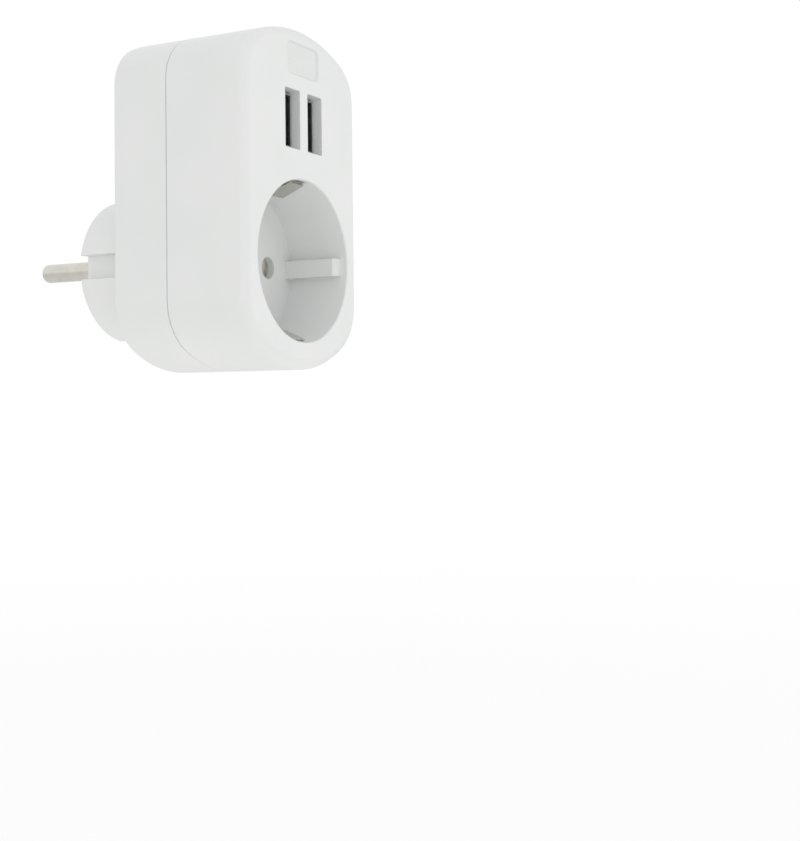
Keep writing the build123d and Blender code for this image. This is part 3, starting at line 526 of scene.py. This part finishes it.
def ring_of(radius):
    steps = [2 * pi * step / RING_POINTS for step in range(RING_POINTS)]
    return [(radius * cos(turn), radius * sin(turn)) for turn in steps]


def cross_of(arm, half):
    """The cross recess's outline, one point for each point of a ring round it."""
    corner = half + 0.1
    eighth = [
        (arm, 0), (arm - 0.03, 0.6 * half), (arm - 0.14, half), (0.78 * arm, half),
        (0.6 * arm, half), (half + 0.22, half + 0.02), (corner, corner),
    ]
    quarter = eighth + [(across, along) for along, across in reversed(eighth[1:6])]
    outline = []
    for _ in range(4):
        outline += quarter
        quarter = [(-across, along) for along, across in quarter]
    return outline


def lofted(mesh, layers, start, end):
    """Closed skin through rings of (points, height), with a point in the middle of each end."""
    rings = [[mesh.verts.new((x, y, z)) for x, z in points] for points, y in layers]
    for lower, upper in zip(rings, rings[1:]):
        for step in range(len(lower)):
            after = (step + 1) % len(lower)
            mesh.faces.new((lower[step], lower[after], upper[after], upper[step]))
    for edge, height in ((rings[0], start), (rings[-1], end)):
        tip = mesh.verts.new((0, height, 0))
        for step in range(len(edge)):
            mesh.faces.new((edge[step], edge[(step + 1) % len(edge)], tip))


def tube_between(mesh, rows):
    """A closed tube through rows of points round it, with a face at each end."""
    for before, after in zip(rows, rows[1:]):
        for step in range(len(before)):
            beside = (step + 1) % len(before)
            mesh.faces.new((before[step], before[beside], after[beside], after[step]))
    mesh.faces.new(rows[0])
    mesh.faces.new(rows[-1])


def thread_on(mesh):
    """A closed ridge wound along the core, which fades out at both ends."""
    steps_in_turn, fade_in, fade_out = 24, 12, 30
    root, root_half = CORE_RADIUS - 0.1, 0.27
    faded, crest_half = CORE_RADIUS - 0.02, 0.03
    turns = int((SCREW_LENGTH - PLAIN_NECK - PLAIN_TIP) / THREAD_PITCH)
    steps = turns * steps_in_turn
    rows = []
    for step in range(steps + 1):
        turn = 2 * pi * step / steps_in_turn
        height = -PLAIN_NECK - THREAD_PITCH * step / steps_in_turn
        share = min(1.0, (step + 1) / fade_in, (steps - step + 1) / fade_out)
        crest = faded + (CREST_RADIUS - faded) * share
        profile = (
            (root, root_half), (crest, crest_half), (crest, -crest_half), (root, -root_half)
        )
        rows.append([
            mesh.verts.new((radius * cos(turn), height + offset, radius * sin(turn)))
            for radius, offset in profile
        ])
    tube_between(mesh, rows)


def one_screw():
    """A screw along Y in its own mesh, with the seat of its head at nought."""
    mesh = bmesh.new()
    head = [(ring_of(radius), height) for radius, height in HEAD_RINGS]
    recess = [(cross_of(arm, half), height) for arm, half, height in RECESS_RINGS]
    lofted(mesh, head + recess, start=0.0, end=RECESS_BOTTOM)
    core = [(ring_of(radius), height) for radius, height in CORE_RINGS]
    lofted(mesh, core, start=CORE_TOP, end=-SCREW_LENGTH)
    thread_on(mesh)
    bmesh.ops.recalc_face_normals(mesh, faces=mesh.faces)
    screw = bpy.data.meshes.new("one_screw")
    mesh.to_mesh(screw)
    mesh.free()
    return screw


def cross_head_screws():
    lower_x = LOWER_SCREW_CIRCLE * cos(LOWER_SCREW_ANGLE)
    lower_z = -LOWER_SCREW_CIRCLE * sin(LOWER_SCREW_ANGLE)
    places = [(side * UPPER_SCREW_X, UPPER_SCREW_Z) for side in (-1, 1)]
    places += [(side * lower_x, lower_z) for side in (-1, 1)]
    first_turn, turn_between = 0.4, 0.9
    one = one_screw()
    whole = bmesh.new()
    for place, (x, z) in enumerate(places):
        whole.from_mesh(one)
        mine = whole.verts[-len(one.vertices):]
        spin = Matrix.Rotation(first_turn + turn_between * place, 3, "Y")
        bmesh.ops.rotate(whole, verts=mine, cent=(0, 0, 0), matrix=spin)
        bmesh.ops.translate(whole, verts=mine, vec=(x, SCREW_SEAT, z))
    bmesh.ops.scale(whole, verts=whole.verts, vec=(MM, MM, MM))
    bpy.data.meshes.remove(one)
    screws = smooth_piece("cross_head_screws", whole, zinc, crease_degrees=32)
    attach(screws, "housing")
    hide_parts("housing_screws")


cross_head_screws()


# The well's rim over the two earth slots, in millimetres: the rim runs on unbroken round the
# mouth there, and the slot for each clip starts behind it.
WELL_RADIUS = 20.0
WELL_EDGE_RADIUS = 0.4
FRONT_FACE = -38.8
SLOT_START = -37.4
SLOT_TOP = 20.5
SLOT_HALF_WIDTH = 3.0


def rim_over_earth_slots():
    edge_steps, half_steps = 6, 12
    section = [(SLOT_TOP, SLOT_START, False), (SLOT_TOP, FRONT_FACE, False)]
    for step in range(edge_steps + 1):
        swing = pi / 2 * step / edge_steps
        radius = WELL_RADIUS + WELL_EDGE_RADIUS * (1 - sin(swing))
        section.append((radius, FRONT_FACE + WELL_EDGE_RADIUS * (1 - cos(swing)), True))
    section.append((WELL_RADIUS, SLOT_START, True))
    mesh = bmesh.new()
    for side in (1, -1):
        rows = []
        for step in range(2 * half_steps + 1):
            x = SLOT_HALF_WIDTH * (step / half_steps - 1)
            rows.append([
                mesh.verts.new((x * MM, y * MM, side * (r * r - x * x * round_well) ** 0.5 * MM))
                for r, y, round_well in section
            ])
        tube_between(mesh, rows)
    bmesh.ops.recalc_face_normals(mesh, faces=mesh.faces)
    rims = smooth_piece("rim_over_earth_slots", mesh, front_white, crease_degrees=30)
    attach(rims, "housing")


rim_over_earth_slots()


# Camera at the photograph's place, solved from the socket well and the housing's corners. Its
# place is in millimetres. Its focal length, and the point that its axis meets, are in pixels.
PHOTO_WIDTH, PHOTO_HEIGHT = 800, 841
FOCAL_LENGTH = 1372.73
AXIS_ACROSS, AXIS_DOWN = 446.26, 347.32
SENSOR_WIDTH = 36.0
CAMERA_PLACE = Vector((-284.24, -221.85, -33.77))

turn, pitch, roll = radians(63.05), radians(2.06), radians(-0.78)
look = Vector((sin(turn) * cos(pitch), cos(turn) * cos(pitch), sin(pitch)))
level_right = Vector((cos(turn), -sin(turn), 0))
level_up = level_right.cross(look)
right = level_right * cos(roll) + level_up * sin(roll)
up = level_up * cos(roll) - level_right * sin(roll)

camera_data = bpy.data.cameras.new("view_of_adapter")
camera_data.sensor_width = SENSOR_WIDTH
camera_data.lens = FOCAL_LENGTH * SENSOR_WIDTH / PHOTO_HEIGHT
camera_data.shift_x = (PHOTO_WIDTH / 2 - AXIS_ACROSS) / PHOTO_HEIGHT
camera_data.shift_y = (AXIS_DOWN - PHOTO_HEIGHT / 2) / PHOTO_HEIGHT
camera_data.clip_start = 0.01
camera = bpy.data.objects.new("view_of_adapter", camera_data)
scene.collection.objects.link(camera)
axes = Matrix((right, up, -look)).transposed().to_4x4()
camera.matrix_world = Matrix.Translation(CAMERA_PLACE * MM) @ axes
scene.camera = camera


# Matt paper floor well under the adapter. To the eye it is paper white, a little less so near
# the middle, where the adapter's faint shadow shows.
def pale_floor():
    half, low = 3.0, -0.170
    mesh = bpy.data.meshes.new("pale_floor")
    corners = [(-half, -half, low), (half, -half, low), (half, half, low), (-half, half, low)]
    mesh.from_pydata(corners, [], [(0, 1, 2, 3)])
    floor = bpy.data.objects.new("pale_floor", mesh)
    scene.collection.objects.link(floor)
    material, tree, place, shader = start_material(
        "matt_paper_floor", {"IOR": 1.45, "Roughness": 0.9}
    )
    fibre = add(
        tree, "ShaderNodeTexNoise", {"Scale": per_metre(3.0), "Detail": 2.0},
        {"Vector": (place, "Object")},
    )
    tint = add(
        tree, "ShaderNodeValToRGB", {}, {"Fac": (fibre, "Fac")},
        ((0.0, "#f4f4f3"), (1.0, "#f8f8f7")),
    )
    feed(tree, tint, "Color", shader, "Base Color")
    away = add(tree, "ShaderNodeVectorMath", links={0: (place, "Object")}, operation="LENGTH")
    faded = add(
        tree, "ShaderNodeMapRange",
        {"From Min": 0.2, "From Max": 0.9, "To Min": 0.86, "To Max": 1.0},
        {"Value": (away, "Value")}, interpolation_type="SMOOTHSTEP",
    )
    ray = add(tree, "ShaderNodeLightPath")
    shown = add(
        tree, "ShaderNodeMath", {}, {0: (ray, "Is Camera Ray"), 1: (faded, "Result")},
        operation="MULTIPLY",
    )
    paper = add(tree, "ShaderNodeEmission", {"Strength": 1.0})
    mixed = add(
        tree, "ShaderNodeMixShader", {},
        {0: (shown, 0), 1: (shader, "BSDF"), 2: (paper, "Emission")},
    )
    output = next(node for node in tree.nodes if node.type == "OUTPUT_MATERIAL")
    feed(tree, mixed, 0, output, "Surface")
    mesh.materials.append(material)


pale_floor()

# White surroundings: white to the eye and in reflections, and a plain soft level of light
world = bpy.data.worlds.new("white_surroundings")
scene.world = world
world.use_nodes = True
sky = world.node_tree
sky.nodes.clear()
ray = add(sky, "ShaderNodeLightPath")
seen = (ray, "Is Camera Ray")
for kind in ("Is Glossy Ray", "Is Transmission Ray"):
    either = add(sky, "ShaderNodeMath", {}, {0: seen, 1: (ray, kind)}, operation="MAXIMUM")
    seen = (either, "Value")
level = add(sky, "ShaderNodeMapRange", {"To Min": 0.815, "To Max": 1.0}, {"Value": seen})
backdrop = add(
    sky, "ShaderNodeBackground", {"Color": (1, 1, 1, 1)}, {"Strength": (level, "Result")}
)
add(sky, "ShaderNodeOutputWorld", links={"Surface": (backdrop, "Background")})


def softbox(name, place, aim, size, watts):
    """A large soft lamp that points at the adapter."""
    lamp = bpy.data.lights.new(name, "AREA")
    lamp.shape = "DISK"
    lamp.size = size
    lamp.energy = watts
    lamp_object = bpy.data.objects.new(name, lamp)
    scene.collection.objects.link(lamp_object)
    lamp_object.visible_camera = False
    lamp_object.location = place
    direction = Vector(aim) - Vector(place)
    lamp_object.rotation_euler = direction.to_track_quat("-Z", "Y").to_euler()


middle = (0, -0.02, 0.015)
softbox("front_softbox", (0.75, -0.9, 0.2), middle, 1.0, 1.25)
softbox("floor_bounce", (-0.05, -0.1, -0.165), (-0.05, -0.1, 0), 0.5, 0.104)
softbox("low_left_softbox", (-0.6, -0.5, -0.14), middle, 0.6, 0.64)
softbox("top_softbox", (-0.35, -0.1, 0.8), middle, 0.6, 0.42)

scene.view_settings.view_transform = "Standard"
